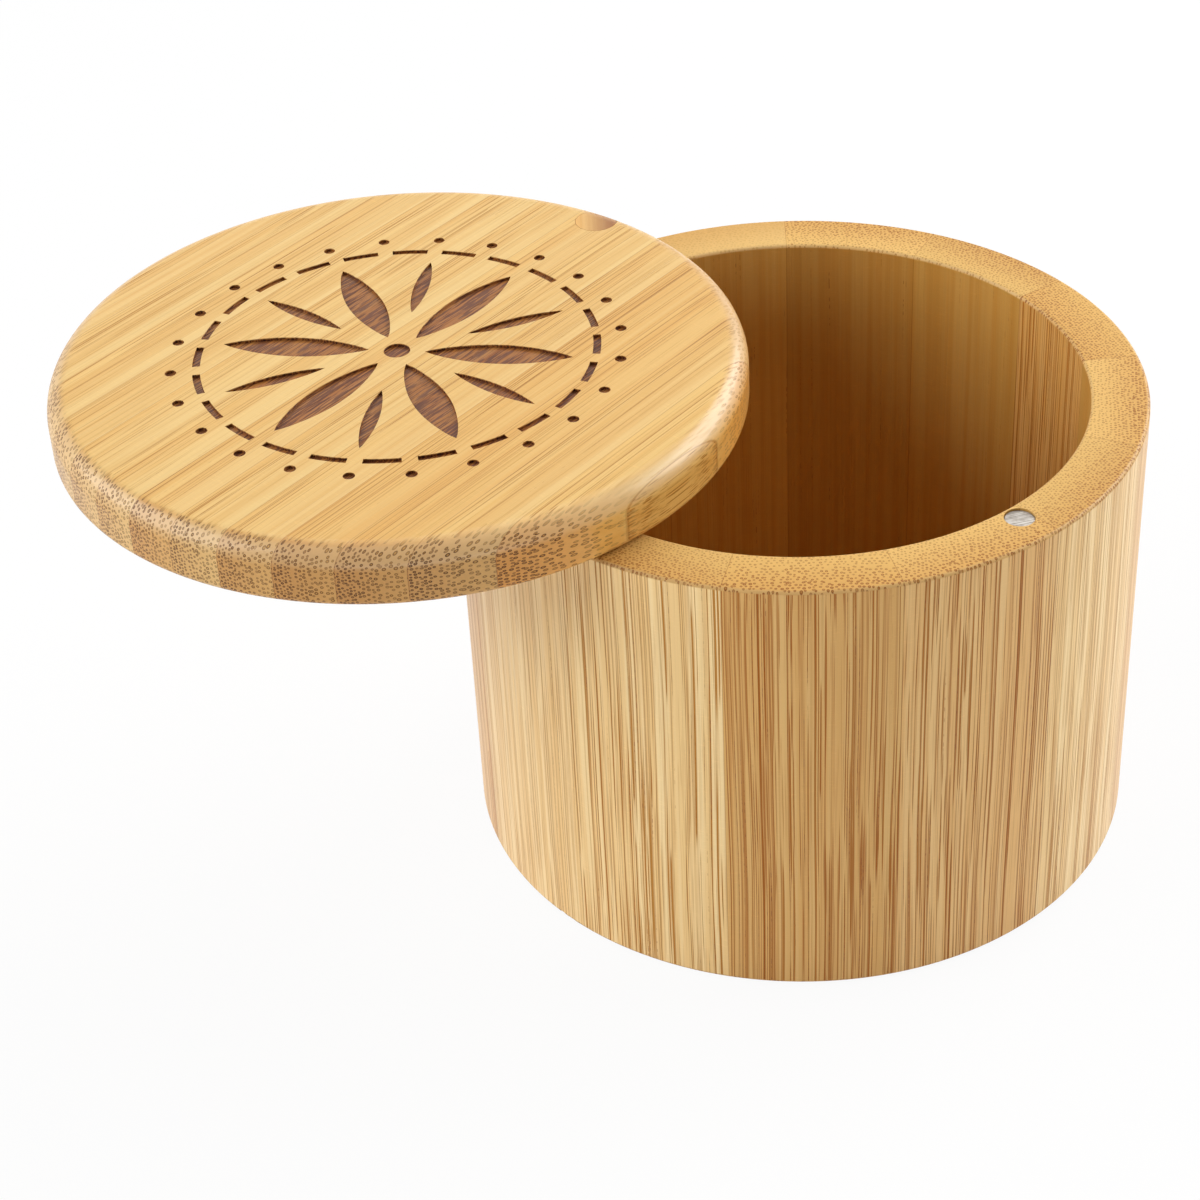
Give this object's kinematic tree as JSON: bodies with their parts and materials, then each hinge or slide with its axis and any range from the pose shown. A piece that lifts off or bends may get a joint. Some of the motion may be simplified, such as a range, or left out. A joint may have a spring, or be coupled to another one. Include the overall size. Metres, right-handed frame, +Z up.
{
  "type": "salt box",
  "caption": "Round staved bamboo salt box with a captive lid that swivels aside on a screw in the rim and is held shut by magnets.",
  "frame": {"origin": "centre of the underside, on the table", "axes": "+Z up; +Y towards the lid's pivot at the back of the rim; the magnets are at the front, on -Y; the lid stands swung out to -X"},
  "size_m": [0.1285, 0.1202, 0.0698],
  "materials": {
    "ring_bamboo": "satin clear finish over turned bamboo",
    "floor_bamboo": "satin clear finish over turned bamboo",
    "lid_bamboo": "satin clear finish over turned bamboo",
    "plug_wood": "end grain, satin clear finish",
    "screw_steel": "plain bright steel",
    "magnet_nickel": "dull nickel plate"
  },
  "bodies": {
    "box": {"stave_01": "ring_bamboo", "stave_02": "ring_bamboo", "stave_03": "ring_bamboo", "stave_04": "ring_bamboo", "stave_05": "ring_bamboo", "stave_06": "ring_bamboo", "stave_07": "ring_bamboo", "stave_08": "ring_bamboo", "stave_09": "ring_bamboo", "stave_10": "ring_bamboo", "stave_11": "ring_bamboo", "stave_12": "ring_bamboo", "stave_13": "ring_bamboo", "floor_strip_01": "floor_bamboo", "floor_strip_02": "floor_bamboo", "floor_strip_03": "floor_bamboo", "floor_strip_04": "floor_bamboo", "floor_strip_05": "floor_bamboo", "floor_strip_06": "floor_bamboo", "floor_strip_07": "floor_bamboo", "floor_strip_08": "floor_bamboo", "floor_strip_09": "floor_bamboo", "floor_strip_10": "floor_bamboo", "floor_strip_11": "floor_bamboo", "floor_strip_12": "floor_bamboo", "floor_strip_13": "floor_bamboo", "pivot_screw": "screw_steel", "rim_magnet": "magnet_nickel"},
    "lid": {"lid_strip_01": "lid_bamboo", "lid_strip_02": "lid_bamboo", "lid_strip_03": "lid_bamboo", "lid_strip_04": "lid_bamboo", "lid_strip_05": "lid_bamboo", "lid_strip_06": "lid_bamboo", "lid_strip_07": "lid_bamboo", "lid_strip_08": "lid_bamboo", "lid_strip_09": "lid_bamboo", "lid_strip_10": "lid_bamboo", "lid_strip_11": "lid_bamboo", "lid_strip_12": "lid_bamboo", "lid_strip_13": "lid_bamboo", "lid_strip_14": "lid_bamboo", "lid_strip_15": "lid_bamboo", "pivot_plug": "plug_wood", "lid_magnet": "magnet_nickel"}
  },
  "joints": [
    {"name": "lid_swivel", "type": "hinge", "parent": "box", "child": "lid", "pos_m": [0, 0.04077, 0.0622], "axis": [0, 0, 1], "continuous": true}
  ]
}
